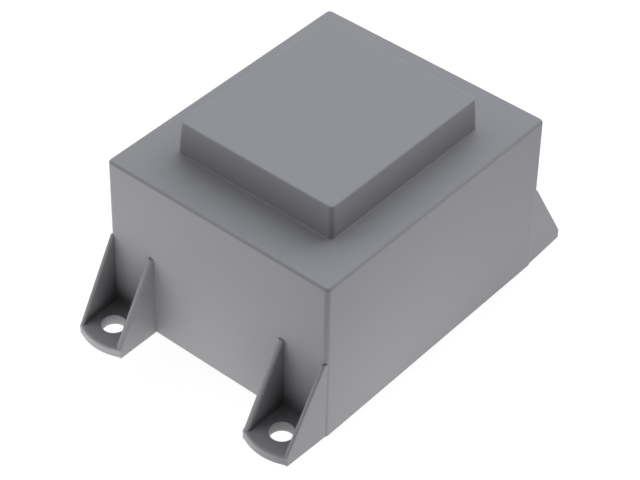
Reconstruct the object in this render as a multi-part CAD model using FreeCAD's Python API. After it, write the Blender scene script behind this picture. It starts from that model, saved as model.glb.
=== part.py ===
import FreeCAD, Part
import math
import os
from FreeCAD import Vector

# Encapsulated mains transformer for a printed circuit board.
# Millimetres, +Z up. The origin is the middle of the seating plane, under the housing's rim.
# X runs along the longer side, towards the lugs. The pins reach below z = 0.

# Laminations, the standard EI 60 sheet
sheet_length = 60.0
sheet_width = 50.0
centre_leg = 20.0
outer_leg = 10.0
yoke = 10.0
sheet_thickness = 0.5
sheet_count = 51

# Bobbin with two winding chambers
leg_gap = 0.2
tube_wall = 1.0
tube_corner = 1.0
flange_thickness = 1.2
flange_gap = 0.4
flange_end_gap = 0.2
flange_overhang = 7.5
flange_corner = 1.5
ledge_reach = 2.0
ledge_height = 2.4

# Windings, and the tapes between and over them
winding_build = 2.45
middle_tape = 0.1
cover_tape = 0.3
winding_gap = 0.1

# Terminal pins and their blocks
pins_per_row = 4
pin_pitch = 10.0
pin_row_span = 35.0
pin_diameter = 1.0
shank_diameter = 1.4
pin_out = 4.5
pin_tip = 0.4
stub_height = 6.0
stub_out = 2.6
block_margin = 3.0
block_floor = 3.4
block_gap = 0.2

# Lead-outs and solder
lead_diameter = 0.7
lead_gap = 0.05
lead_side_gap = 0.15
lead_inner_run = 4.0
lead_rise = 0.6
lead_bend = 1.1
solder_length = 1.6
solder_wall = 0.2

# Thermal cut-out
cutout_diameter = 2.4
cutout_length = 7.5
cutout_wire = 0.7
cutout_wire_length = 0.5
cutout_gap = 0.1

# Housing
wall = 1.8
top_wall = 1.8
core_gap = 0.2
draft = 0.3
corner_radius = 1.0
edge_radius = 0.6
resin_recess = 1.0
resin_cover = 1.0

# Plateau over the coil
coil_gap = 0.3
plateau_wall = 1.2
plateau_roof = 1.4
plateau_draft = 3.0
plateau_corner = 1.0
plateau_edge = 0.3
foot_radius = 0.2

# Screw lugs
hole_span_x = 75.6
hole_span_y = 43.2
hole_diameter = 5.0
pocket_width = 9.1
lug_thickness = 2.4
lug_shoulder = 4.3
lug_tip = 5.7
lug_taper = 2.2
lug_edge = 0.5
inner_gusset = 1.35
outer_gusset = 0.85
gusset_height = 18.7
gusset_crest = 0.4
gusset_edge = 0.55

# Heights that follow from the sizes above
stack_height = sheet_count * sheet_thickness
coil_floor = resin_recess + resin_cover
stack_floor = coil_floor + flange_overhang
stack_top = stack_floor + stack_height
stack_middle = (stack_floor + stack_top) / 2
coil_top = stack_top + flange_overhang
shoulder = stack_top + core_gap
body_top = shoulder + top_wall
roof_inside = coil_top + coil_gap
plateau_top = roof_inside + plateau_roof

# Plan sizes that follow
window_y = sheet_width - 2 * yoke
tube_x = centre_leg + 2 * (leg_gap + tube_wall)
tube_z = stack_height + 2 * (leg_gap + tube_wall)
flange_x = sheet_length - 2 * outer_leg - 2 * flange_gap
flange_z = stack_height + 2 * flange_overhang
flange_face = window_y / 2 - flange_end_gap
chamber_length = flange_face - flange_thickness * 1.5
ledge_face = window_y / 2 + ledge_reach
pin_y = pin_row_span / 2
block_face = pin_y + block_margin
hole_x = hole_span_x / 2
hole_y = hole_span_y / 2
lug_inside = hole_y - pocket_width / 2 - inner_gusset
lug_outside = hole_y + pocket_width / 2 + outer_gusset

# The coil's build, from the tube to the cover tape
coil_build = 2 * winding_build + middle_tape + cover_tape
coil_underside = stack_middle - tube_z / 2 - coil_build
coil_side = tube_x / 2 + coil_build

# Lead-outs
lead_level = coil_underside - lead_gap - lead_diameter / 2
lead_offset = shank_diameter / 2 + lead_side_gap + lead_diameter / 2
lead_start = flange_face - flange_thickness - lead_inner_run
lead_riser = block_face + stub_out / 2
stub_end = block_face + stub_out
slot_width = lead_diameter + 2 * lead_side_gap
cutout_turn = -(flange_thickness / 2 + lead_side_gap + lead_diameter / 2)

TINY = 1e-4


def lean(height, degrees):
    """How far a drafted wall leans out over a height."""
    return height * math.tan(math.radians(degrees))


def wall_x(z):
    """Outer face of the housing's end wall at height z."""
    return sheet_length / 2 + core_gap + wall + lean(shoulder - z, draft)


def wall_y(z):
    """Outer face of the housing's side wall at height z."""
    return sheet_width / 2 + core_gap + wall + lean(shoulder - z, draft)


def box(x, y, z):
    """Block between two values on each axis."""
    size = (x[1] - x[0], y[1] - y[0], z[1] - z[0])
    return Part.makeBox(*size, Vector(x[0], y[0], z[0]))


def drafted_block(half_x, half_y, z_low, z_high, degrees):
    """Block with the given half sizes at z_high, whose sides lean out down to z_low."""
    height = z_high - z_low
    out = lean(height, degrees)
    wedge = Part.makeWedge(
        -half_x - out, 0, -half_y - out, -half_y, -half_x,
        half_x + out, height, half_y + out, half_y, half_x)
    wedge.rotate(Vector(0, 0, 0), Vector(1, 0, 0), 90)
    wedge.translate(Vector(0, 0, z_low))
    return wedge


def upright_edges(shape):
    """Edges that climb from the lowest plane of a drafted block to its highest."""
    height = shape.BoundBox.ZLength
    return [e for e in shape.Edges if e.BoundBox.ZLength > 0.9 * height]


def edges_at(shape, z, inside=None):
    """Edges that lie in the plane at height z, or those of them within half sizes inside."""
    found = []
    for edge in shape.Edges:
        b = edge.BoundBox
        if abs(b.ZMin - z) > TINY or abs(b.ZMax - z) > TINY:
            continue
        if inside and (b.XMax > inside[0] or b.YMax > inside[1]):
            continue
        if inside and (b.XMin < -inside[0] or b.YMin < -inside[1]):
            continue
        found.append(edge)
    return found


def rounded_block(half_x, half_y, z_low, z_high, degrees, corner, edge=0.0):
    """Drafted block with rounded upright corners and, if asked, a rounded top edge."""
    block = drafted_block(half_x, half_y, z_low, z_high, degrees)
    block = block.makeFillet(corner, upright_edges(block))
    if edge:
        block = block.makeFillet(edge, edges_at(block, z_high))
    return block


def frame_profile(width, height, corner, y):
    """Rounded rectangle in the plane at y, around the axis of the coil."""
    x = width / 2
    z = height / 2
    r = corner
    k = r * (1 - math.sqrt(0.5))
    turns = [(x, z, 1, 1), (-x, z, -1, 1), (-x, -z, -1, -1), (x, -z, 1, -1)]
    starts, ends, arcs = [], [], []
    for cx, cz, sx, sz in turns:
        across = Vector(cx, y, cz - sz * r)
        along = Vector(cx - sx * r, y, cz)
        middle = Vector(cx - sx * k, y, cz - sz * k)
        first, last = (across, along) if sx * sz > 0 else (along, across)
        starts.append(first)
        ends.append(last)
        arcs.append(Part.Arc(first, middle, last).toShape())
    edges = []
    for i, arc in enumerate(arcs):
        edges.append(arc)
        edges.append(Part.makeLine(ends[i], starts[(i + 1) % 4]))
    wire = Part.Wire(edges)
    wire.translate(Vector(0, 0, stack_middle))
    return wire


def frame_plate(width, height, corner, y):
    """Solid rounded rectangle around the coil's axis, between two values of y."""
    face = Part.Face(frame_profile(width, height, corner, y[0]))
    return face.extrude(Vector(0, y[1] - y[0], 0))


def ring(inner, build, y):
    """Band that lies around the tube: inner is how far its inside is off the tube."""
    inside = frame_plate(tube_x + 2 * inner, tube_z + 2 * inner, tube_corner + inner, y)
    off = inner + build
    outside = frame_plate(tube_x + 2 * off, tube_z + 2 * off, tube_corner + off, y)
    return outside.cut(inside)


def round_wire(points, diameter, bend):
    """Round wire along straight runs with a tangent arc at each turn."""
    edges = []
    here = points[0]
    for before, corner, after in zip(points, points[1:], points[2:]):
        come = (corner - before).normalize()
        go = (after - corner).normalize()
        half_turn = come.getAngle(go) / 2
        back = bend * math.tan(half_turn)
        start = corner - come * back
        end = corner + go * back
        inward = (go - come).normalize()
        to_centre = bend / math.cos(half_turn)
        middle = corner + inward * (to_centre - bend)
        edges.append(Part.makeLine(here, start))
        edges.append(Part.Arc(start, middle, end).toShape())
        here = end
    edges.append(Part.makeLine(here, points[-1]))
    path = Part.Wire(edges)
    direction = points[1] - points[0]
    ring_wire = Part.Wire(Part.makeCircle(diameter / 2, points[0], direction))
    return path.makePipeShell([ring_wire], True, False)


def lug_plate():
    """Foot of one lug in the +X +Y quarter, its outer side leaning in towards a rounded end."""
    root = wall_x(0) - wall / 2
    shoulder_x = hole_x + lug_shoulder
    shoulder_y = lug_outside - lean(shoulder_x - root, lug_taper)
    corners = [Vector(shoulder_x, lug_inside, 0), Vector(root, lug_inside, 0),
               Vector(root, lug_outside, 0), Vector(shoulder_x, shoulder_y, 0)]
    edges = [Part.makeLine(a, b) for a, b in zip(corners, corners[1:])]
    tip = Vector(hole_x + lug_tip, (lug_inside + shoulder_y) / 2, 0)
    edges.append(Part.Arc(corners[3], tip, corners[0]).toShape())
    plate = Part.Face(Part.Wire(edges)).extrude(Vector(0, 0, lug_thickness))
    rims = [e for e in plate.Edges if e.BoundBox.XMax > shoulder_x + TINY]
    rims = [e for e in rims if e.BoundBox.ZLength < TINY]
    plate = plate.makeFillet(lug_edge, rims)
    hole = Part.makeCylinder(hole_diameter / 2, lug_thickness, Vector(hole_x, hole_y, 0))
    return plate.cut(hole)


def gusset(y_low, thickness, taper):
    """Web from the lug's shoulder up the end wall, blunt at its top and rounded along its slope.

    It starts from the wall at y_low and leans in by the taper on its way to the shoulder.
    """
    root = wall_x(0) - wall / 2
    shoulder_x = hole_x + lug_shoulder
    crest_x = wall_x(gusset_height) + gusset_crest
    profile = [(root, 0), (shoulder_x, 0), (shoulder_x, lug_thickness),
               (crest_x, gusset_height), (root, gusset_height)]
    points = [Vector(x, y_low - lean(x - root, taper), z) for x, z in profile]
    face = Part.Face(Part.makePolygon(points + points[:1]))
    web = face.extrude(Vector(0, thickness, 0))
    slopes = [e for e in web.Edges if e.BoundBox.XLength > 1 and e.BoundBox.ZLength > 1]
    return web.makeFillet(min(gusset_edge, 0.45 * thickness), slopes)


def lug():
    """One lug: its foot and two gussets, with a pocket for the screw's head between them."""
    inner = gusset(lug_inside, inner_gusset, 0)
    outer = gusset(lug_outside - outer_gusset, outer_gusset, lug_taper)
    return lug_plate().fuse([inner, outer])


def four_lugs():
    """The lug in all four quarters."""
    first = lug()
    across = first.mirror(Vector(0, 0, 0), Vector(0, 1, 0))
    pair = [first, across]
    return pair + [s.mirror(Vector(0, 0, 0), Vector(1, 0, 0)) for s in pair]


def coil_pocket():
    """Hollow of the plateau, open to the room below the shoulder that the core seats under."""
    half_x = flange_x / 2 + coil_gap
    half_y = ledge_face + coil_gap
    return rounded_block(half_x, half_y, stack_top, roof_inside, plateau_draft, 2 * coil_gap)


def cavity():
    """Inside of the housing: the core's room, then the coil's room above it."""
    half_x = sheet_length / 2 + core_gap
    half_y = sheet_width / 2 + core_gap
    room = rounded_block(half_x, half_y, 0, shoulder, draft, 2 * core_gap)
    return room.fuse(coil_pocket())


def housing_outside():
    """Outer form of the moulding without its lugs."""
    body = rounded_block(wall_x(body_top), wall_y(body_top), 0, body_top, draft,
                         corner_radius, edge_radius)
    half_x = flange_x / 2 + coil_gap + plateau_wall
    half_y = ledge_face + coil_gap + plateau_wall
    plateau = rounded_block(half_x, half_y, shoulder, plateau_top, plateau_draft,
                            plateau_corner, plateau_edge)
    form = body.fuse(plateau)
    reach = lean(plateau_top - shoulder, plateau_draft)
    foot = edges_at(form, body_top, (half_x + reach, half_y + reach))
    return form.makeFillet(foot_radius, foot)


def housing():
    """The whole grey moulding."""
    form = housing_outside().fuse(four_lugs())
    return form.cut(cavity()).removeSplitter()


def e_sheet(z, side):
    """E lamination whose yoke lies at the side given by its sign."""
    far = sheet_width / 2
    plate = box((-sheet_length / 2, sheet_length / 2), (-far, far - yoke),
                (z, z + sheet_thickness))
    inner = centre_leg / 2
    outer = sheet_length / 2 - outer_leg
    for x in ((inner, outer), (-outer, -inner)):
        plate = plate.cut(box(x, (-far + yoke, far), (z - 1, z + sheet_thickness + 1)))
    if side > 0:
        plate = plate.mirror(Vector(0, 0, 0), Vector(0, 1, 0))
    return plate


def i_sheet(z, side):
    """I lamination that closes the legs at the side given by its sign."""
    y = sorted((side * sheet_width / 2, side * (sheet_width / 2 - yoke)))
    return box((-sheet_length / 2, sheet_length / 2), y, (z, z + sheet_thickness))


def core():
    """Laminations stacked by turns, the yoke of one E over the I of the next."""
    groups = {"e_laminations_front": [], "i_laminations_rear": [],
              "e_laminations_rear": [], "i_laminations_front": []}
    for i in range(sheet_count):
        z = stack_floor + i * sheet_thickness
        side = -1 if i % 2 == 0 else 1
        e_name = "e_laminations_front" if side < 0 else "e_laminations_rear"
        i_name = "i_laminations_rear" if side < 0 else "i_laminations_front"
        groups[e_name].append(e_sheet(z, side))
        groups[i_name].append(i_sheet(z, -side))
    return {name: Part.makeCompound(sheets) for name, sheets in groups.items()}


def core_block():
    """Room that the whole stack takes, with its two windows."""
    half_x = sheet_length / 2
    half_y = sheet_width / 2
    block = box((-half_x, half_x), (-half_y, half_y), (stack_floor, stack_top))
    inner = centre_leg / 2
    outer = half_x - outer_leg
    for x in ((inner, outer), (-outer, -inner)):
        block = block.cut(box(x, (-window_y / 2, window_y / 2), (stack_floor, stack_top)))
    return block


def pin_places():
    """Number, x and side of each terminal: 1 to 4 at the front, 5 to 8 at the rear."""
    places = []
    for row, side in enumerate((-1, 1)):
        for i in range(pins_per_row):
            x = (i - (pins_per_row - 1) / 2) * pin_pitch
            places.append((row * pins_per_row + i + 1, x, side))
    return places


def pin(x, side):
    """Bent terminal: a stub for the wire, a shank down to the resin's face and a thinner leg."""
    y = side * pin_y
    shank = round_wire([Vector(x, side * stub_end, stub_height), Vector(x, y, stub_height),
                        Vector(x, y, resin_recess)], shank_diameter, shank_diameter)
    radius = pin_diameter / 2
    down = Vector(0, 0, -1)
    tip_start = pin_tip - pin_out
    leg = Part.makeCylinder(radius, resin_recess - tip_start, Vector(x, y, resin_recess), down)
    tip = Part.makeCone(radius, radius - pin_tip / 2, pin_tip, Vector(x, y, tip_start), down)
    return shank.fuse([leg, tip])


def terminal_block(side):
    """Bar under the yoke that holds one row of pins."""
    y = sorted((side * (flange_face - flange_thickness), side * block_face))
    half_x = flange_x / 2
    block = box((-half_x, half_x), y, (block_floor, stack_floor - block_gap))
    outer = [e for e in block.Edges if abs(abs(e.BoundBox.Center.y) - block_face) < TINY]
    outer = [e for e in outer if e.BoundBox.ZLength > 1]
    return block.makeFillet(flange_corner, outer)


def upper_ledge(side):
    """Lip over the yoke that steadies the coil on the core."""
    y = sorted((side * (flange_face - flange_thickness), side * ledge_face))
    half_x = flange_x / 2
    low = stack_top + leg_gap
    return box((-half_x, half_x), y, (low, low + ledge_height))


def lead_slot(x, side):
    """Notch in the flange's foot that a lead-out passes through."""
    centre = x + lead_offset
    y = sorted((side * (flange_face - flange_thickness), side * flange_face))
    return box((centre - slot_width / 2, centre + slot_width / 2), y,
               (coil_floor, block_floor))


def bobbin():
    """Two-chamber former with its terminal blocks, ledges and lead slots."""
    body = frame_plate(tube_x, tube_z, tube_corner, (-flange_face, flange_face))
    plates = []
    half = flange_thickness / 2
    for y in (-flange_face + half, 0, flange_face - half):
        plates.append(frame_plate(flange_x, flange_z, flange_corner, (y - half, y + half)))
    for side in (-1, 1):
        plates.append(terminal_block(side))
        plates.append(upper_ledge(side))
    body = body.fuse(plates)
    half_leg = centre_leg / 2 + leg_gap
    bore = box((-half_leg, half_leg), (-flange_face, flange_face),
               (stack_floor - leg_gap, stack_top + leg_gap))
    cuts = [bore]
    for number, x, side in pin_places():
        cuts.append(lead_slot(x, side))
        cuts.append(pin(x, side))
    return body.cut(cuts).removeSplitter()


def chamber(side):
    """Range of y that a winding fills, in the primary's chamber or the secondary's."""
    near = side * (flange_thickness / 2 + winding_gap)
    far = side * (flange_thickness / 2 + chamber_length - winding_gap)
    return sorted((near, far))


def windings():
    """Two coils and two tapes in each chamber."""
    shapes = {}
    for name, side in (("primary", -1), ("secondary", 1)):
        y = chamber(side)
        off = 0
        layers = [("winding_inner", winding_build), ("middle_tape", middle_tape),
                  ("winding_outer", winding_build), ("cover_tape", cover_tape)]
        for layer, build in layers:
            shapes[name + "_" + layer] = ring(off, build, y)
            off += build
    return shapes


def cutout_place():
    """Inner end of the thermal cut-out: beside the primary, below the core's outer leg."""
    x = coil_side + cutout_gap + cutout_diameter / 2
    y = cutout_turn - lead_bend - lead_side_gap - cutout_wire_length
    return Vector(x, y, (coil_underside + stack_floor) / 2)


def thermal_cutout():
    """Sealed can with a wire at each end, lying along the primary."""
    end = cutout_place()
    along = Vector(0, -1, 0)
    can = Part.makeCylinder(cutout_diameter / 2, cutout_length, end, along)
    wire = Part.makeCylinder(cutout_wire / 2, cutout_length + 2 * cutout_wire_length,
                             end - along * cutout_wire_length, along)
    return can.fuse([wire])


def lead_route(x, side, from_cutout):
    """Corners of one lead-out, from the coil through its slot to the pin's stub."""
    line = x + lead_offset
    points = [Vector(line, side * lead_start, lead_level)]
    if from_cutout:
        end = cutout_place()
        points = [Vector(end.x, end.y + cutout_wire_length, end.z),
                  Vector(end.x, cutout_turn, end.z), Vector(end.x, cutout_turn, lead_level),
                  Vector(line, -(flange_face - flange_thickness), lead_level)]
    points.append(Vector(line, side * lead_riser, lead_level))
    points.append(Vector(line, side * lead_riser, stub_height + lead_rise))
    return points


def lead(number, x, side):
    """Lead-out of one pin. That of the last primary pin comes from the cut-out."""
    from_cutout = number == pins_per_row
    return round_wire(lead_route(x, side, from_cutout), lead_diameter, lead_bend)


def solder_joint(x, side, metal):
    """Bead of solder around a pin's stub and its lead-out."""
    radius = lead_offset + lead_diameter / 2 + solder_wall
    start = side * (lead_riser - solder_length / 2)
    bead = Part.makeCylinder(radius, solder_length, Vector(x, start, stub_height),
                             Vector(0, side, 0))
    return bead.cut(metal)


def terminals():
    """Pins, lead-outs and solder joints."""
    shapes = {}
    beads = []
    for number, x, side in pin_places():
        name = "primary" if side < 0 else "secondary"
        post = pin(x, side)
        wire = lead(number, x, side)
        shapes["pin_%d_%s" % (number, name)] = post
        shapes["lead_%d_%s" % (number, name)] = wire
        beads.append(solder_joint(x, side, [post, wire]))
    shapes["solder_joints"] = Part.makeCompound(beads)
    return shapes


def resin(inside):
    """Potting that fills the cup up to its surface, around every piece inside."""
    low = resin_recess
    block = box((-wall_x(0), wall_x(0)), (-wall_y(0), wall_y(0)), (low, plateau_top))
    return cavity().common(block).cut(inside)


def build():
    """All nodes of the transformer by name."""
    shapes = {"bobbin": bobbin(), "thermal_cutout": thermal_cutout()}
    shapes.update(windings())
    shapes.update(terminals())
    inside = [core_block()] + list(shapes.values())
    shapes["potting_resin"] = resin(inside)
    shapes.update(core())
    shapes["housing"] = housing()
    return shapes


def main():
    os.makedirs("parts", exist_ok=True)
    for name, shape in build().items():
        shape.exportStep("parts/%s.step" % name)
        print(name, len(shape.Solids), round(shape.Volume, 1), shape.isValid())


main()
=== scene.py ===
"""Looks of a potted board transformer: grey moulded housing, resin face, coils, core and pins."""

import bpy
import numpy as np
from bpy.props import FloatProperty, FloatVectorProperty, PointerProperty
from mathutils import Matrix, Vector


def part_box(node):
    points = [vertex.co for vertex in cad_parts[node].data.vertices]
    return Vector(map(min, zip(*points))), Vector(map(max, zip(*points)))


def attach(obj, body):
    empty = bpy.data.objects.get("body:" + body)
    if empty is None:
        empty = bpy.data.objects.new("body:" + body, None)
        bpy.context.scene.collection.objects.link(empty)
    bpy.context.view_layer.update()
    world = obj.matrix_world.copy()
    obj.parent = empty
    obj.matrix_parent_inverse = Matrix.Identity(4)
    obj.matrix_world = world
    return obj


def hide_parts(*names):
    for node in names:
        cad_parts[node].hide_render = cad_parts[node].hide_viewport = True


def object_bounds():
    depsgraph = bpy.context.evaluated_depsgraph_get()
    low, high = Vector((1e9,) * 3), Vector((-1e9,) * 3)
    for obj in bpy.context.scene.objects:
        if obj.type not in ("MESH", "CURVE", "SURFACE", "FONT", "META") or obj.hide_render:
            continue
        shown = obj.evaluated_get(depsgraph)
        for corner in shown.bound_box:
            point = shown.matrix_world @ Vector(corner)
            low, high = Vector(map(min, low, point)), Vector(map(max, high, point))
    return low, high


bl_info = {
    "name": "Potted board transformer",
    "version": (1, 0, 0),
    "blender": (4, 5, 0),
    "location": "View3D > Sidebar > Transformer",
    "description": "Surfaces, coils and studio for a potted mains transformer",
    "category": "Object",
}

MM = 0.001
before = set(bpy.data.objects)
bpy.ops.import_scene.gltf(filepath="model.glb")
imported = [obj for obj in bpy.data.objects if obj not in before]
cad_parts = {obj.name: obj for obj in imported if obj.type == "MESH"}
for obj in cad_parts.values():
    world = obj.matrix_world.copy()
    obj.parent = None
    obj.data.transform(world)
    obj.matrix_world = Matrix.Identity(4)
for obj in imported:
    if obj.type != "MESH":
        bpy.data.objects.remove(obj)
cad_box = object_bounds()

# The eight terminals, numbered and named as in the part
TERMINALS = ["%d_%s" % (number, "primary" if number <= 4 else "secondary")
             for number in range(1, 9)]
PINS = ["pin_" + terminal for terminal in TERMINALS]
LEADS = ["lead_" + terminal for terminal in TERMINALS]


# Colours, numbers and meshes

def linear(hex_colour):
    """Linear RGB of an sRGB colour written as #rrggbb."""
    parts = [int(hex_colour[i:i + 2], 16) / 255 for i in (1, 3, 5)]
    return tuple(p / 12.92 if p <= 0.04045 else ((p + 0.055) / 1.055) ** 2.4 for p in parts)


def node_box(name):
    """Lowest and highest corner of a CAD node, as arrays in metres."""
    low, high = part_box(name)
    return np.array(list(low), float), np.array(list(high), float)


def grid_faces(rows, columns, close_rows=False, close_columns=False):
    """Quads between neighbouring points of a grid that is stored row by row."""
    i = np.arange(rows if close_rows else rows - 1)
    j = np.arange(columns if close_columns else columns - 1)
    i, j = (a.ravel() for a in np.meshgrid(i, j, indexing="ij"))
    below, beside = (i + 1) % rows, (j + 1) % columns
    return np.stack([i * columns + j, below * columns + j,
                     below * columns + beside, i * columns + beside], 1)


def outward(points, faces):
    """The faces, turned so that the closed surface has a positive volume."""
    a, b, c, d = (points[faces[:, k]] for k in range(4))
    volume = np.einsum("ij,ij->i", a, np.cross(b, c) + np.cross(c, d)).sum()
    return faces if volume > 0 else faces[:, ::-1]


def new_piece(name, points, faces, material, slot, *replaced):
    """Smooth mesh at the origin that rides on the part and stands for the replaced nodes."""
    mesh = bpy.data.meshes.new(name)
    mesh.from_pydata(points.tolist(), [], [list(face) for face in faces])
    mesh.polygons.foreach_set("use_smooth", np.ones(len(mesh.polygons), bool))
    mesh.materials.append(material)
    mesh.update()
    piece = bpy.data.objects.new(name, mesh)
    bpy.context.scene.collection.objects.link(piece)
    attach(piece, "root")
    if replaced:
        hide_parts(*replaced)
    return piece


def dress(material, *names):
    """Gives CAD nodes, which keep their own mesh, one material."""
    for name in names:
        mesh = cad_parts[name].data
        mesh.materials.clear()
        mesh.materials.append(material)


# Materials

# Painted shade in the housing's narrow corners: a corner counts as narrow by the share of open
# # space round it. With the lower share or less it is darkest, times this tone, and from the upper
# # share on it is as it is lit.
CORNER_REACH = 12 * MM
CORNER_OPEN = (0.10, 0.45)
PAINTED_SHADE_TONE = 0.35

# Thickness of a lamination
SHEET = 0.5 * MM


def add(tree, kind, inputs=None, **settings):
    """Adds a node with its settings. Inputs give each socket a value or another node's output."""
    made = tree.nodes.new(kind)
    for key, value in settings.items():
        setattr(made, key, value)
    for key, value in (inputs or {}).items():
        if isinstance(value, bpy.types.NodeSocket):
            tree.links.new(value, made.inputs[key])
        else:
            made.inputs[key].default_value = value
    return made


def new_material(name):
    """Empty material with its output node."""
    material = bpy.data.materials.new(name)
    material.use_nodes = True
    material.node_tree.nodes.clear()
    return material, material.node_tree, add(material.node_tree, "ShaderNodeOutputMaterial")


def speckle(tree, period, detail=2.0, stretch=(1.0, 1.0, 1.0)):
    """Noise in object space whose grains are about one period, in metres, apart."""
    place = add(tree, "ShaderNodeTexCoord")
    mapping = add(tree, "ShaderNodeMapping", {"Vector": place.outputs["Object"], "Scale": stretch})
    noise = add(tree, "ShaderNodeTexNoise", {"Vector": mapping.outputs[0], "Scale": 1 / period,
                                             "Detail": detail, "Roughness": 0.55})
    return noise.outputs["Fac"]


def between(tree, factor, low, high, wide=(0.3, 0.7)):
    """Value that runs from low to high as the factor runs over its usual range."""
    return add(tree, "ShaderNodeMapRange", {"Value": factor, "From Min": wide[0],
                                            "From Max": wide[1], "To Min": low,
                                            "To Max": high}).outputs[0]


def tint(tree, factor, low, high):
    """Colour that runs from low to high with the factor. Either may be a node's output."""
    ends = [c if isinstance(c, bpy.types.NodeSocket) else (*c, 1) for c in (low, high)]
    return add(tree, "ShaderNodeMix", {"Factor": factor, "A": ends[0], "B": ends[1]},
               data_type="RGBA").outputs["Result"]


def scaled(colour, gain):
    """The colour made lighter or darker."""
    return tuple(min(1.0, c * gain) for c in colour)


def moulded_polyester():
    """Grey glass-filled PBT, injection moulded in a spark-eroded tool.

    The eroded tool leaves a fine even grain, so the face is satin with no clear reflections, and
    the melt leaves faint broad clouds of tone. The grain is drawn at 0.3 mm so that it shows. The
    narrow corners, such as those between the gussets, carry painted shade: their colour is drawn
    darker than the light alone leaves them.
    """
    look = bpy.context.scene.transformer
    material, tree, out = new_material("moulded_polyester")
    base = tuple(look.housing_colour)
    clouds = speckle(tree, period=14 * MM, detail=3.0)
    grain = speckle(tree, period=0.3 * MM)
    cloudy = tint(tree, clouds, scaled(base, 0.965), scaled(base, 1.035))
    fleck = between(tree, grain, low=0.0, high=0.10, wide=(0.45, 0.75))
    flecked = tint(tree, fleck, base, scaled(base, 1.25))
    tone = tint(tree, 0.5, cloudy, flecked)
    # Painted shade: the colour is darkened towards black in narrow corners, where ambient
    # occlusion finds little open space
    room = add(tree, "ShaderNodeAmbientOcclusion", {"Distance": CORNER_REACH}, samples=8,
               only_local=True)
    depth = between(tree, room.outputs["AO"], low=PAINTED_SHADE_TONE, high=1.0, wide=CORNER_OPEN)
    shown = tint(tree, depth, (0.0, 0.0, 0.0), tone)
    rough = between(tree, grain, low=look.housing_roughness - 0.04,
                    high=look.housing_roughness + 0.05)
    waves = speckle(tree, period=5 * MM, detail=1.0)
    ripple = add(tree, "ShaderNodeBump", {"Height": waves, "Strength": 0.25,
                                          "Distance": 0.02 * MM})
    pores = add(tree, "ShaderNodeBump", {"Height": grain, "Strength": 0.35,
                                         "Distance": 0.02 * MM, "Normal": ripple.outputs[0]})
    shader = add(tree, "ShaderNodeBsdfPrincipled",
                 {"Base Color": shown, "Roughness": rough, "IOR": 1.48,
                  "Normal": pores.outputs[0]})
    tree.links.new(shader.outputs[0], out.inputs["Surface"])
    return material


def casting_resin():
    """Mineral-filled polyurethane, poured and self-levelled: darker, smooth and slightly wet."""
    look = bpy.context.scene.transformer
    material, tree, out = new_material("casting_resin")
    base = tuple(look.resin_colour)
    filler = speckle(tree, period=0.6 * MM, detail=3.0)
    pour = speckle(tree, period=9 * MM, stretch=(1.0, 1.6, 1.0))
    tone = tint(tree, pour, scaled(base, 0.85), scaled(base, 1.12))
    rough = between(tree, filler, low=0.22, high=0.36)
    skin = add(tree, "ShaderNodeBump", {"Height": filler, "Strength": 0.2, "Distance": 0.01 * MM})
    shader = add(tree, "ShaderNodeBsdfPrincipled",
                 {"Base Color": tone, "Roughness": rough, "IOR": 1.5, "Normal": skin.outputs[0]})
    tree.links.new(shader.outputs[0], out.inputs["Surface"])
    return material


def sheet_gaps(tree):
    """1 in the thin dark gaps between sheets, 0 on the metal and on the flat of a sheet."""
    place = add(tree, "ShaderNodeTexCoord")
    split = add(tree, "ShaderNodeSeparateXYZ", {0: place.outputs["Object"]})
    count = add(tree, "ShaderNodeMath", {0: split.outputs["Z"], 1: SHEET}, operation="DIVIDE")
    share = add(tree, "ShaderNodeMath", {0: count.outputs[0]}, operation="FRACT")
    middle = add(tree, "ShaderNodeMath", {0: share.outputs[0], 1: 0.5}, operation="SUBTRACT")
    off = add(tree, "ShaderNodeMath", {0: middle.outputs[0]}, operation="ABSOLUTE")
    gaps = between(tree, off.outputs[0], low=0.0, high=1.0, wide=(0.36, 0.5))
    facing = add(tree, "ShaderNodeNewGeometry")
    tilt = add(tree, "ShaderNodeSeparateXYZ", {0: facing.outputs["Normal"]})
    flat = add(tree, "ShaderNodeMath", {0: tilt.outputs["Z"]}, operation="ABSOLUTE")
    edge = add(tree, "ShaderNodeMath", {0: 1.0, 1: flat.outputs[0]}, operation="SUBTRACT")
    return add(tree, "ShaderNodeMath", {0: gaps, 1: edge.outputs[0]},
               operation="MULTIPLY").outputs[0]


def silicon_steel():
    """Punched electrical sheet with a thin blue-grey insulating coat, rolled along X.

    Rolling leaves long fine streaks and a soft sheen. On the cut edges of the stack each 0.5 mm
    sheet shows as a bright line between two dark gaps.
    """
    material, tree, out = new_material("silicon_steel")
    rolled = speckle(tree, period=0.8 * MM, detail=3.0, stretch=(0.06, 1.0, 1.0))
    stain = speckle(tree, period=11 * MM, detail=3.0)
    gaps = sheet_gaps(tree)
    tone = tint(tree, stain, linear("#6a6f77"), linear("#888b91"))
    tone = tint(tree, gaps, tone, linear("#2a2c30"))
    rough = between(tree, rolled, low=0.34, high=0.52)
    lines = add(tree, "ShaderNodeBump", {"Height": rolled, "Strength": 0.3,
                                         "Distance": 0.01 * MM})
    steps = add(tree, "ShaderNodeBump", {"Height": gaps, "Strength": 0.6, "Distance": 0.03 * MM,
                                         "Normal": lines.outputs[0]}, invert=True)
    shader = add(tree, "ShaderNodeBsdfPrincipled",
                 {"Base Color": tone, "Roughness": rough, "Metallic": 0.85,
                  "Normal": steps.outputs[0]})
    tree.links.new(shader.outputs[0], out.inputs["Surface"])
    return material


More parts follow.
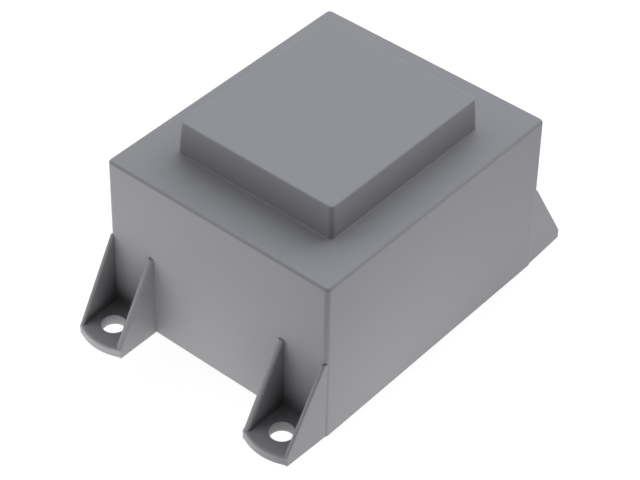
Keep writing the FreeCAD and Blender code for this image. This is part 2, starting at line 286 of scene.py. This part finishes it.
def polyamide():
    """Natural glass-filled nylon, moulded: off-white, faintly mottled and a little translucent."""
    material, tree, out = new_material("polyamide")
    fibre = speckle(tree, period=0.5 * MM, detail=3.0, stretch=(1.0, 0.35, 1.0))
    cloud = speckle(tree, period=7 * MM)
    tone = tint(tree, cloud, linear("#c9c1ae"), linear("#d8d2c2"))
    rough = between(tree, fibre, low=0.38, high=0.55)
    skin = add(tree, "ShaderNodeBump", {"Height": fibre, "Strength": 0.25,
                                        "Distance": 0.01 * MM})
    shader = add(tree, "ShaderNodeBsdfPrincipled",
                 {"Base Color": tone, "Roughness": rough, "IOR": 1.53, "Normal": skin.outputs[0],
                  "Subsurface Weight": 0.15, "Subsurface Scale": 0.6 * MM})
    tree.links.new(shader.outputs[0], out.inputs["Surface"])
    return material


def enamelled_copper():
    """Copper wire under a clear amber enamel: a warm metal with a glossy coat."""
    material, tree, out = new_material("enamelled_copper")
    wear = speckle(tree, period=1.5 * MM, detail=3.0, stretch=(1.0, 0.3, 1.0))
    tone = tint(tree, wear, linear("#9c4f27"), linear("#c06a35"))
    rough = between(tree, wear, low=0.2, high=0.34)
    shader = add(tree, "ShaderNodeBsdfPrincipled",
                 {"Base Color": tone, "Roughness": rough, "Metallic": 0.9, "Coat Weight": 0.6,
                  "Coat Roughness": 0.12})
    tree.links.new(shader.outputs[0], out.inputs["Surface"])
    return material


def polyester_tape():
    """Yellow polyester film with adhesive: glossy, with faint air marks under it."""
    material, tree, out = new_material("polyester_tape")
    air = speckle(tree, period=2.5 * MM, detail=3.0)
    creases = speckle(tree, period=0.7 * MM, stretch=(1.0, 0.2, 1.0))
    tone = tint(tree, air, linear("#cf9f1e"), linear("#e0b83a"))
    rough = between(tree, air, low=0.16, high=0.3)
    skin = add(tree, "ShaderNodeBump", {"Height": creases, "Strength": 0.25,
                                        "Distance": 0.02 * MM})
    shader = add(tree, "ShaderNodeBsdfPrincipled",
                 {"Base Color": tone, "Roughness": rough, "IOR": 1.6, "Normal": skin.outputs[0]})
    tree.links.new(shader.outputs[0], out.inputs["Surface"])
    return material


def bright_metal(name, low, high, roughness, period):
    """Soft bright metal, dipped or melted on, whose tone and gloss vary over one period."""
    material, tree, out = new_material(name)
    cloud = speckle(tree, period, detail=3.0)
    tone = tint(tree, cloud, linear(low), linear(high))
    rough = between(tree, cloud, low=roughness - 0.06, high=roughness + 0.08)
    shader = add(tree, "ShaderNodeBsdfPrincipled",
                 {"Base Color": tone, "Roughness": rough, "Metallic": 1.0})
    tree.links.new(shader.outputs[0], out.inputs["Surface"])
    return material


def gloss_polyester():
    """Cream PBT moulded in a polished tool, for the thermal cut-out: glossy and nearly even."""
    material, tree, out = new_material("gloss_polyester")
    cloud = speckle(tree, period=1.2 * MM)
    tone = tint(tree, cloud, linear("#cfc8b4"), linear("#ddd7c6"))
    rough = between(tree, cloud, low=0.3, high=0.42)
    shader = add(tree, "ShaderNodeBsdfPrincipled",
                 {"Base Color": tone, "Roughness": rough, "IOR": 1.5})
    tree.links.new(shader.outputs[0], out.inputs["Surface"])
    return material


# Surfaces

# Stations on the way round a coil, points across a wire, and how far up, as a share of the
# radius, the groove between two wires ends
TRACK_POINTS = 180
RIDGE_POINTS = 5
GROOVE = 0.2

# The cover tape: the share of the way round at which it ends, the short first stretch between
# two stations, the depth down to the coil, how far its edges wander, and their rounding
TAPE_END = 0.62
FIRST_STRETCH = 0.002
TAPE_BUILD = 0.3 * MM
TAPE_WANDER = 0.10 * MM
TAPE_EDGE = 0.02 * MM

# The resin's skin: how far it tucks into the wall, and how far it lies before and behind the face
SKIN_TUCK = 0.05 * MM
SKIN_DEPTH = 0.03 * MM

# The pins: their rows' distance from the middle, and their radius, as in the part
PIN_ROW = 17.5 * MM
PIN_RADIUS = 0.5 * MM

# How fast the liquid's climb dies away from the wall and from a pin, and its height at a pin
CLIMB_WALL = 0.8 * MM
CLIMB_PIN = 0.45 * MM
CLIMB_PIN_HEIGHT = 0.4 * MM

# Waves of the pour: the way along X and Y for one radian, the angles in the middle, and the height
POUR_X, POUR_Y = 9 * MM, 7 * MM
POUR_START_X, POUR_START_Y = 0.6, 1.1
POUR_HEIGHT = 0.01 * MM

# Grid lines of the skin: closer in a band at the walls and round the pins, and even between
WALL_BAND, WALL_LINES = 4 * MM, 14
PIN_BAND, PIN_LINES = 2 * MM, 19
EVEN_MARGIN, EVEN_LINES = 5 * MM, 26

# Solder beads: shift towards the lead-out, distance from the middle, half length, radius, the
# tips' share of it, the power of their swelling, height to width, and how high they lie
BEAD_SHIFT = 0.45 * MM
BEAD_Y = 21.8 * MM
BEAD_HALF = 0.8 * MM
BEAD_RADIUS = 1.3 * MM
BEAD_TIP = 0.22
BEAD_POWER = 0.75
BEAD_TALL = 0.8
BEAD_Z = 6.0 * MM
BEAD_STATIONS, BEAD_POINTS = 15, 28

# Thermal cut-out: its wires' free length, radius and chamfer, the seal's height and width round
# a wire, the share of the case's radius at a ring on its flat end, and the case's edge radius
CUTOUT_WIRE_LENGTH = 0.5 * MM
CUTOUT_WIRE = 0.35 * MM
CUTOUT_CHAMFER = 0.05 * MM
CUTOUT_SEAL_HEIGHT = 0.02 * MM
CUTOUT_SEAL_WIDTH = 0.1 * MM
CUTOUT_END_RING = 0.55
CUTOUT_EDGE = 0.35 * MM
EDGE_STATIONS, CASE_POINTS = 7, 32


def racetrack(half_x, half_z, radius, share):
    """Points and outward directions round a rounded rectangle in X and Z, at shares of its length.

    Each corner is a quarter circle. The eight stretches, four straight and four round, follow each
    other in proportion to their lengths, from the lower end of the +X side.
    """
    x, z = half_x - radius, half_z - radius
    quarter = np.pi * radius / 2
    lengths = np.array([2 * z, quarter, 2 * x, quarter] * 2)
    ends = np.concatenate([[0], np.cumsum(lengths)])
    s = share * ends[-1]
    stretch = np.clip(np.searchsorted(ends, s, "right") - 1, 0, len(lengths) - 1)
    t = (s - ends[stretch]) / lengths[stretch]
    side, turning = stretch // 2, stretch % 2 == 1
    angle = np.pi / 2 * (side + np.where(turning, t, 0.0))
    normal = np.stack([np.cos(angle), np.sin(angle)], 1)
    corner = np.array([[x, -z], [x, z], [-x, z], [-x, -z]])
    before, after = corner[side], corner[(side + 1) % 4]
    centre = before + (after - before) * np.where(turning, 1.0, t)[:, None]
    return centre + normal * radius, normal


def carried(low, high, corner, share, off, along):
    """Closed surface of a profile carried round the coil's axis, and its faces.

    The box from low to high is the reach of the profile's outermost point. For each share of the
    way round, off holds how far each point of the profile lies outside that reach, and along
    where it lies on Y.
    """
    middle, half = (low + high) / 2, (high - low) / 2
    track, normal = racetrack(half[0], half[2], corner, share)
    off, along = np.broadcast_arrays(off, along)
    x = middle[0] + track[:, :1] + normal[:, :1] * off
    z = middle[2] + track[:, 1:] + normal[:, 1:] * off
    points = np.stack([x, along, z], -1).reshape(-1, 3)
    return points, outward(points, grid_faces(len(share), off.shape[1], True, True))


def ridge(turns):
    """Height, from 0 to 1, of round wires that lie side by side: a half circle for each turn."""
    return np.sqrt(np.clip(1 - (2 * (turns % 1.0) - 1) ** 2, GROOVE ** 2, 1))


def wound(name, low, high, build, corner, wire, material):
    """One winding: the ridges of its outer turns, and of its layers at both ends.

    The turns run round in a helix, so after the whole way the ridges have moved by one wire.
    """
    r = wire / 2
    turns = round((high[1] - low[1]) / wire)
    layers = max(2, round(build / wire))
    share = np.linspace(0, 1, TRACK_POINTS, endpoint=False)[:, None]
    across = np.linspace(0, 1, turns * RIDGE_POINTS + 1)
    down = np.linspace(0, 1, layers * RIDGE_POINTS + 1)[1:]
    top = -r + r * ridge(across * turns + share)
    top_y = low[1] + r + across * (high[1] - low[1] - wire) + 0 * share
    side = -r - down * (build - r) + 0 * share
    bulge = r * (ridge(down * layers + 0 * share) - 1)
    off = np.concatenate([top, side, side[:, ::-1]], 1)
    along = np.concatenate([top_y, high[1] + bulge, low[1] - bulge[:, ::-1]], 1)
    points, faces = carried(low, high, corner, share.ravel(), off, along)
    return new_piece(name + "_wires", points, faces, material, "enamelled_copper", name)


def taped(name, low, high, film, corner, material):
    """Cover tape: a spiral of film that climbs by one film's thickness to the step at its end.

    Its two edges wander along Y as a sine, as a tape laid on by hand does.
    """
    round_share = np.linspace(FIRST_STRETCH, 1, TRACK_POINTS, endpoint=False)
    share = np.concatenate([[0.0], round_share])
    climb = film * (((share - TAPE_END) % 1.0) - 1)[:, None]
    wander = TAPE_WANDER * (1 + np.sin(2 * np.pi * (2 * share[:, None] + 0.2)))
    below = 0 * climb - TAPE_BUILD
    off = np.concatenate([climb - TAPE_EDGE, climb, climb, climb - TAPE_EDGE, below, below], 1)
    y0, y1 = low[1] + wander, high[1] - wander
    along = np.concatenate([y0, y0 + TAPE_EDGE, y1 - TAPE_EDGE, y1, y1, y0], 1)
    points, faces = carried(low, high, corner, share, off, along)
    return new_piece(name + "_film", points, faces, material, "tape", name)


def lathe(centre, y, radius, count, squash=(1.0, 1.0)):
    """Closed surface of revolution about a line along Y: rings of points, and flat end caps.

    Squash makes each ring an ellipse, by a factor along X and one along Z.
    """
    turn = np.linspace(0, 2 * np.pi, count, endpoint=False)[None, :]
    x = centre[0] + squash[0] * radius[:, None] * np.cos(turn)
    z = centre[2] + squash[1] * radius[:, None] * np.sin(turn)
    points = np.stack([x, centre[1] + y[:, None] + 0 * turn, z], -1).reshape(-1, 3)
    faces = outward(points, grid_faces(len(y), count, False, True)).tolist()
    first = list(range(count))
    last = [len(points) - count + i for i in first]
    flip = faces[0][0] < faces[0][1] < count
    return points, faces + [first[::-1] if flip else first, last if flip else last[::-1]]


def skin_lines(half, marks):
    """Places of the skin's grid lines from one wall to the other.

    They lie closer towards the walls, by a square, and towards each mark, by a cube.
    """
    wall = half - WALL_BAND * np.linspace(0, 1, WALL_LINES) ** 2
    near = np.concatenate([m + PIN_BAND * np.linspace(-1, 1, PIN_LINES) ** 3 for m in marks])
    even = np.linspace(EVEN_MARGIN - half, half - EVEN_MARGIN, EVEN_LINES)
    return np.unique(np.round(np.concatenate([wall, -wall, near, even]), 6))


def resin_skin(look, material):
    """Skin of the poured resin, on the CAD resin's open face.

    Its depth is an exponential of the distance to the housing's wall and to each pin, where the
    liquid climbed, plus long shallow waves of the pour. The back of the skin is sunk in the resin.
    """
    low, high = node_box("potting_resin")
    reach = np.minimum(high, -low)[:2] + SKIN_TUCK
    middles = [sum(node_box(name)) / 2 for name in PINS]
    pins_x = np.unique(np.round([middle[0] for middle in middles], 5))
    pins_y = (-PIN_ROW, PIN_ROW)
    x, y = np.meshgrid(skin_lines(reach[0], pins_x), skin_lines(reach[1], pins_y), indexing="ij")
    wall = np.minimum(reach[0] - abs(x), reach[1] - abs(y))
    depth = look.resin_climb * np.exp(-wall / CLIMB_WALL)
    for pin_x in pins_x:
        for pin_y in pins_y:
            gap = np.maximum(np.hypot(x - pin_x, y - pin_y) - PIN_RADIUS, 0)
            depth = np.maximum(depth, CLIMB_PIN_HEIGHT * np.exp(-gap / CLIMB_PIN))
    waves = np.sin(x / POUR_X + POUR_START_X) * np.sin(y / POUR_Y + POUR_START_Y)
    z = low[2] - SKIN_DEPTH - depth - POUR_HEIGHT * (1 + waves)
    front = np.stack([x, y, z], -1).reshape(-1, 3)
    back = np.stack([x, y, low[2] + SKIN_DEPTH + 0 * z], -1).reshape(-1, 3)
    rows, columns = x.shape
    count = rows * columns
    sheet = grid_faces(rows, columns)
    grid = np.arange(count).reshape(rows, columns)
    rim = np.concatenate([grid[:-1, 0], grid[-1, :-1], grid[:0:-1, -1], grid[0, :0:-1]])
    ahead = np.roll(rim, -1)
    side = np.stack([rim, ahead, ahead + count, rim + count], 1)
    points = np.concatenate([front, back])
    faces = np.concatenate([sheet[:, ::-1], sheet + count, side])
    return new_piece("resin_skin", points, outward(points, faces), material, "resin")


def solder_beads(material):
    """The beads on the pins' stubs: spindles, wider than tall, set over towards the lead-outs.

    A bead's radius grows from its tips as a power of the sine along its length.
    """
    points, faces = [], []
    t = np.linspace(0, np.pi, BEAD_STATIONS)
    swell = BEAD_TIP + (1 - BEAD_TIP) * np.sin(t) ** BEAD_POWER
    for name in PINS:
        low, high = node_box(name)
        side = 1 if high[1] > 0 else -1
        middle = ((low[0] + high[0]) / 2 + BEAD_SHIFT, side * BEAD_Y, BEAD_Z)
        ring, quads = lathe(middle, -BEAD_HALF * np.cos(t), BEAD_RADIUS * swell, BEAD_POINTS,
                            (1.0, BEAD_TALL))
        start = len(ring) * len(points)
        faces += [[start + i for i in face] for face in quads]
        points.append(ring)
    return new_piece("solder_beads", np.concatenate(points), faces, material, "solder",
                     "solder_joints")


def cutout(material):
    """Thermal cut-out: case with rounded edges, its two wires, and a thin seal round each.

    The profile is a list of stations along Y with the radius at each, the same at both ends.
    """
    low, high = node_box("thermal_cutout")
    middle, half = (low + high) / 2, (high - low) / 2
    end, radius = half[1], half[0]
    case = end - CUTOUT_WIRE_LENGTH
    bend = np.linspace(0, np.pi / 2, EDGE_STATIONS)
    wire_y = [end, end, case + CUTOUT_SEAL_HEIGHT, case, case]
    wire_r = [CUTOUT_WIRE - CUTOUT_CHAMFER, CUTOUT_WIRE, CUTOUT_WIRE,
              CUTOUT_WIRE + CUTOUT_SEAL_WIDTH, CUTOUT_END_RING * radius]
    y = np.concatenate([wire_y, case - CUTOUT_EDGE * (1 - np.cos(bend))])
    r = np.concatenate([wire_r, radius - CUTOUT_EDGE * (1 - np.sin(bend))])
    points, faces = lathe(middle, np.concatenate([-y, y[::-1]]), np.concatenate([r, r[::-1]]),
                          CASE_POINTS)
    return new_piece("cutout_case", points, faces, material, "cutout_can", "thermal_cutout")


# Settings, operators and panel

class TransformerSettings(bpy.types.PropertyGroup):
    """Sizes and colours that can be changed before the pieces are made."""
    housing_colour: FloatVectorProperty(
        name="Housing", description="Colour of the moulded housing", subtype="COLOR",
        min=0, max=1, default=linear("#8a898c"))
    housing_roughness: FloatProperty(
        name="Housing roughness", description="Roughness of the eroded mould texture",
        subtype="FACTOR", min=0, max=1, default=0.5)
    resin_colour: FloatVectorProperty(
        name="Resin", description="Colour of the casting resin", subtype="COLOR",
        min=0, max=1, default=linear("#55585a"))
    resin_climb: FloatProperty(
        name="Resin climb", description="How high the resin's edge climbs the housing's wall",
        subtype="DISTANCE", unit="LENGTH", min=0, max=0.9 * MM, default=0.45 * MM)
    primary_wire: FloatProperty(
        name="Primary wire", description="Diameter of the primary's wire with its enamel",
        subtype="DISTANCE", unit="LENGTH", min=0.3 * MM, max=1.2 * MM, default=0.4 * MM)
    secondary_wire: FloatProperty(
        name="Secondary wire", description="Diameter of the secondary's wire with its enamel",
        subtype="DISTANCE", unit="LENGTH", min=0.3 * MM, max=1.2 * MM, default=0.8 * MM)
    tape_film: FloatProperty(
        name="Tape", description="Thickness of one layer of the cover tape's film",
        subtype="DISTANCE", unit="LENGTH", min=0.03 * MM, max=0.15 * MM, default=0.07 * MM)
    tube_corner: FloatProperty(
        name="Coil corner", description="Corner radius of the tube that the coils are wound on",
        subtype="DISTANCE", unit="LENGTH", min=0.3 * MM, max=3 * MM, default=1.0 * MM)
    lamp_level: FloatProperty(
        name="Sky lamps", description="Brightness of the soft lamps round and over the table",
        min=0, max=4, default=1.0)
    table_shadow: FloatProperty(
        name="Shadow", description="How dark the shadow on the table looks", subtype="FACTOR",
        min=0, max=1, default=0.16)


class TRANSFORMER_OT_housing(bpy.types.Operator):
    """Finish the moulded housing"""
    bl_idname = "transformer.housing"
    bl_label = "Housing"

    def execute(self, context):
        dress(moulded_polyester(), "housing")
        return {"FINISHED"}


class TRANSFORMER_OT_resin(bpy.types.Operator):
    """Finish the casting resin and lay its skin, which climbs the walls and the pins"""
    bl_idname = "transformer.resin"
    bl_label = "Resin"

    def execute(self, context):
        resin = casting_resin()
        dress(resin, "potting_resin")
        resin_skin(context.scene.transformer, resin)
        return {"FINISHED"}


class TRANSFORMER_OT_core(bpy.types.Operator):
    """Finish the stacked laminations"""
    bl_idname = "transformer.core"
    bl_label = "Laminations"

    def execute(self, context):
        dress(silicon_steel(), "e_laminations_front", "e_laminations_rear",
              "i_laminations_front", "i_laminations_rear")
        return {"FINISHED"}


class TRANSFORMER_OT_bobbin(bpy.types.Operator):
    """Finish the bobbin"""
    bl_idname = "transformer.bobbin"
    bl_label = "Bobbin"

    def execute(self, context):
        dress(polyamide(), "bobbin")
        return {"FINISHED"}


class TRANSFORMER_OT_coils(bpy.types.Operator):
    """Wind the coils, and lay the tapes between and over them"""
    bl_idname = "transformer.coils"
    bl_label = "Coils and tapes"

    def execute(self, context):
        look = context.scene.transformer
        copper, tape = enamelled_copper(), polyester_tape()
        for side, wire in (("primary", look.primary_wire), ("secondary", look.secondary_wire)):
            tape_reach = node_box(side + "_middle_tape")[1][0]
            build = node_box(side + "_winding_outer")[1][0] - tape_reach
            for layer, corner in (("inner", build), ("outer", 2 * build)):
                name = side + "_winding_" + layer
                wound(name, *node_box(name), build, look.tube_corner + corner, wire, copper)
            dress(tape, side + "_middle_tape")
            name = side + "_cover_tape"
            taped(name, *node_box(name), look.tape_film, look.tube_corner + 2 * build, tape)
        return {"FINISHED"}


class TRANSFORMER_OT_terminals(bpy.types.Operator):
    """Finish the pins and lead-outs, and run the solder joints"""
    bl_idname = "transformer.terminals"
    bl_label = "Pins, leads and solder"

    def execute(self, context):
        # Drawn copper dipped in tin: bright and a little uneven, with a faint warm cast
        tinned = bright_metal("tinned_copper", low="#b9b7ae", high="#cfcdc6", roughness=0.26,
                              period=1.6 * MM)
        # Tin alloy that flowed and froze: greyer and shinier, with finer clouds
        solder = bright_metal("solder_alloy", low="#a9aaa8", high="#c6c6c2", roughness=0.2,
                              period=0.7 * MM)
        dress(tinned, *PINS)
        dress(enamelled_copper(), *LEADS)
        solder_beads(solder)
        return {"FINISHED"}


class TRANSFORMER_OT_cutout(bpy.types.Operator):
    """Make the thermal cut-out"""
    bl_idname = "transformer.cutout"
    bl_label = "Thermal cut-out"

    def execute(self, context):
        cutout(gloss_polyester())
        return {"FINISHED"}


class TRANSFORMER_OT_stage(bpy.types.Operator):
    """Make the table, the studio light and the camera"""
    bl_idname = "transformer.stage"
    bl_label = "Stage"

    def execute(self, context):
        make_table(context)
        make_sky(context)
        make_camera(context)
        context.scene.view_settings.view_transform = "Standard"
        return {"FINISHED"}


PIECE_OPERATORS = (TRANSFORMER_OT_housing, TRANSFORMER_OT_resin, TRANSFORMER_OT_core,
                   TRANSFORMER_OT_bobbin, TRANSFORMER_OT_coils, TRANSFORMER_OT_terminals,
                   TRANSFORMER_OT_cutout, TRANSFORMER_OT_stage)


class TRANSFORMER_PT_panel(bpy.types.Panel):
    """Sizes and colours of the transformer, and the steps that make it"""
    bl_idname = "TRANSFORMER_PT_panel"
    bl_label = "Transformer"
    bl_space_type = "VIEW_3D"
    bl_region_type = "UI"
    bl_category = "Transformer"

    def draw(self, context):
        look = context.scene.transformer
        sizes = self.layout.column(align=True)
        for name in TransformerSettings.__annotations__:
            sizes.prop(look, name)
        steps = self.layout.column(align=True)
        for made in PIECE_OPERATORS:
            steps.operator(made.bl_idname)


# Studio: a lit white table, and broad soft lamps round and over it

# Each soft lamp of the sky: azimuth from -Y round by +X, elevation, and strength
SKY_LAMPS = ((80, 10, 1.7), (80, 38, 2.05), (147, 58, 1.45), (215, 12, 1.82))

# How fast a lamp of the sky fades from its middle
LAMP_FOCUS = 6.0

# Each lit place of the table: azimuth, distance from the middle, reach, and strength
TABLE_LAMPS = ((215, 110 * MM, 40 * MM, 2.2), (215, 190 * MM, 70 * MM, 1.8),
               (260, 60 * MM, 36 * MM, 2.35), (346, 60 * MM, 31 * MM, 2.05),
               (42, 66 * MM, 30 * MM, 0.75))

# The table: half its width in metres, its height at the pins' tips, the grey of its surface, and
# what the camera sees of it, just over white so that no more than the shadow shows
TABLE_HALF = 3.0
TABLE_Z = cad_box[0][2]
TABLE_WHITE = 0.82
TABLE_SEEN = 1.1

# Colours of the light: seen directly, from the sky, and from the table
PURE_WHITE = (1, 1, 1, 1)
COOL_WHITE = (0.93, 0.96, 1, 1)
WARM_WHITE = (1, 0.99, 0.97, 1)


def heading(azimuth, elevation):
    """Unit direction at an azimuth, from -Y round by +X, and an elevation, in degrees."""
    turn, rise = np.radians([azimuth, elevation])
    return (np.sin(turn) * np.cos(rise), -np.cos(turn) * np.cos(rise), np.sin(rise))


def total(tree, parts):
    """Sum of several values."""
    result = parts[0]
    for part in parts[1:]:
        result = add(tree, "ShaderNodeMath", {0: result, 1: part}, operation="ADD").outputs[0]
    return result


def bell(tree, power, strength):
    """The strength times e to a power that is zero in the middle and negative around it."""
    share = add(tree, "ShaderNodeMath", {0: power}, operation="EXPONENT")
    return add(tree, "ShaderNodeMath", {0: share.outputs[0], 1: strength},
               operation="MULTIPLY").outputs[0]


def sky_lamp(tree, place, azimuth, elevation, strength):
    """Broad lamp that fades with the cosine of the angle from its middle."""
    cosine = add(tree, "ShaderNodeVectorMath", {0: place, 1: heading(azimuth, elevation)},
                 operation="DOT_PRODUCT")
    power = add(tree, "ShaderNodeMath", {0: cosine.outputs["Value"], 1: LAMP_FOCUS,
                                         2: -LAMP_FOCUS}, operation="MULTIPLY_ADD")
    return bell(tree, power.outputs[0], strength)


def table_lamp(tree, place, azimuth, distance, reach, strength):
    """Lit place of the table that fades with the square of the distance from its middle."""
    across, back, _ = heading(azimuth, 0)
    middle = (across * distance, back * distance, TABLE_Z)
    gap = add(tree, "ShaderNodeVectorMath", {0: place, 1: middle}, operation="DISTANCE")
    share = add(tree, "ShaderNodeMath", {0: gap.outputs["Value"], 1: reach}, operation="DIVIDE")
    square = add(tree, "ShaderNodeMath", {0: share.outputs[0], 1: share.outputs[0]},
                 operation="MULTIPLY")
    power = add(tree, "ShaderNodeMath", {0: square.outputs[0], 1: -1.0}, operation="MULTIPLY")
    return bell(tree, power.outputs[0], strength)


def seen_white(tree):
    """1 for the rays that show the white studio: from the camera, and through gloss or glass."""
    path = add(tree, "ShaderNodeLightPath")
    seen = path.outputs["Is Camera Ray"]
    for kind in ("Is Glossy Ray", "Is Transmission Ray"):
        seen = add(tree, "ShaderNodeMath", {0: seen, 1: path.outputs[kind]},
                   operation="MAXIMUM").outputs[0]
    return seen


def lit_white(tree, white, glow, colour):
    """Matt white surface that also glows in a colour."""
    matt = add(tree, "ShaderNodeBsdfDiffuse", {"Color": (white, white, white, 1)})
    light = add(tree, "ShaderNodeEmission", {"Color": colour, "Strength": glow})
    return add(tree, "ShaderNodeAddShader", {0: matt.outputs[0], 1: light.outputs[0]}).outputs[0]


def make_table(context):
    """Lit white table under the pins' tips. Seen directly it is white but for a faint shadow."""
    look = context.scene.transformer
    corners = [(TABLE_HALF * x, TABLE_HALF * y, TABLE_Z)
               for x, y in ((-1, -1), (1, -1), (1, 1), (-1, 1))]
    mesh = bpy.data.meshes.new("table")
    mesh.from_pydata(corners, [], [(0, 1, 2, 3)])
    table = bpy.data.objects.new("table", mesh)
    context.scene.collection.objects.link(table)
    material, tree, out = new_material("lit_table")
    place = add(tree, "ShaderNodeTexCoord").outputs["Object"]
    glow = total(tree, [table_lamp(tree, place, *lamp) for lamp in TABLE_LAMPS])
    lit = lit_white(tree, TABLE_WHITE, glow, WARM_WHITE)
    shown = lit_white(tree, look.table_shadow, TABLE_SEEN - look.table_shadow, PURE_WHITE)
    mix = add(tree, "ShaderNodeMixShader", {0: seen_white(tree), 1: lit, 2: shown})
    tree.links.new(mix.outputs[0], out.inputs["Surface"])
    mesh.materials.append(material)


def make_sky(context):
    """Soft lamps all round, and white to the camera and in reflections."""
    look = context.scene.transformer
    world = bpy.data.worlds.new("studio")
    context.scene.world = world
    world.use_nodes = True
    tree = world.node_tree
    tree.nodes.clear()
    place = add(tree, "ShaderNodeTexCoord").outputs["Generated"]
    lamps = total(tree, [sky_lamp(tree, place, *lamp) for lamp in SKY_LAMPS])
    level = add(tree, "ShaderNodeMath", {0: lamps, 1: look.lamp_level}, operation="MULTIPLY")
    sky = add(tree, "ShaderNodeBackground", {"Color": COOL_WHITE, "Strength": level.outputs[0]})
    white = add(tree, "ShaderNodeBackground", {"Color": PURE_WHITE, "Strength": 1.0})
    mix = add(tree, "ShaderNodeMixShader", {0: seen_white(tree), 1: sky.outputs[0],
                                            2: white.outputs[0]})
    add(tree, "ShaderNodeOutputWorld", {"Surface": mix.outputs[0]})


# Camera, from a fit to the photograph's edges: its direction from the part and its roll in
# degrees, its distance and the shift of its place in metres, and its focal length in pixels
CAMERA_AZIMUTH = -50.34
CAMERA_ELEVATION = 41.8
CAMERA_ROLL = 1.21
CAMERA_DISTANCE = 443.0 * MM
CAMERA_RIGHT = -1.06 * MM
CAMERA_UP = 8.69 * MM
FOCAL_PIXELS = 2222.0

# The photograph's width in pixels, and the sensor's in millimetres
IMAGE_WIDTH = 640
SENSOR = 36.0


def make_camera(context):
    """Camera at the photograph's place: its axes are right, up and back."""
    back = Vector(heading(CAMERA_AZIMUTH, CAMERA_ELEVATION))
    level = Vector(heading(CAMERA_AZIMUTH + 90, 0))
    roll = np.radians(CAMERA_ROLL)
    upright = back.cross(level)
    right = level * np.cos(roll) + upright * np.sin(roll)
    up = upright * np.cos(roll) - level * np.sin(roll)
    place = back * CAMERA_DISTANCE + right * CAMERA_RIGHT + up * CAMERA_UP
    data = bpy.data.cameras.new("camera")
    data.sensor_width = SENSOR
    data.lens = SENSOR * FOCAL_PIXELS / IMAGE_WIDTH
    camera = bpy.data.objects.new("camera", data)
    context.scene.collection.objects.link(camera)
    camera.matrix_world = Matrix((right, up, back)).transposed().to_4x4()
    camera.location = place
    context.scene.camera = camera


CLASSES = (TransformerSettings, *PIECE_OPERATORS, TRANSFORMER_PT_panel)


def register():
    """Registers the classes and gives each scene the transformer's settings."""
    for made in CLASSES:
        bpy.utils.register_class(made)
    bpy.types.Scene.transformer = PointerProperty(type=TransformerSettings)


def unregister():
    """Takes the settings and the classes away again."""
    del bpy.types.Scene.transformer
    for made in reversed(CLASSES):
        bpy.utils.unregister_class(made)


def main():
    """Makes every piece and then the stage."""
    register()
    bpy.ops.transformer.housing()
    bpy.ops.transformer.resin()
    bpy.ops.transformer.core()
    bpy.ops.transformer.bobbin()
    bpy.ops.transformer.coils()
    bpy.ops.transformer.terminals()
    bpy.ops.transformer.cutout()
    bpy.ops.transformer.stage()


if __name__ == "__main__":
    main()
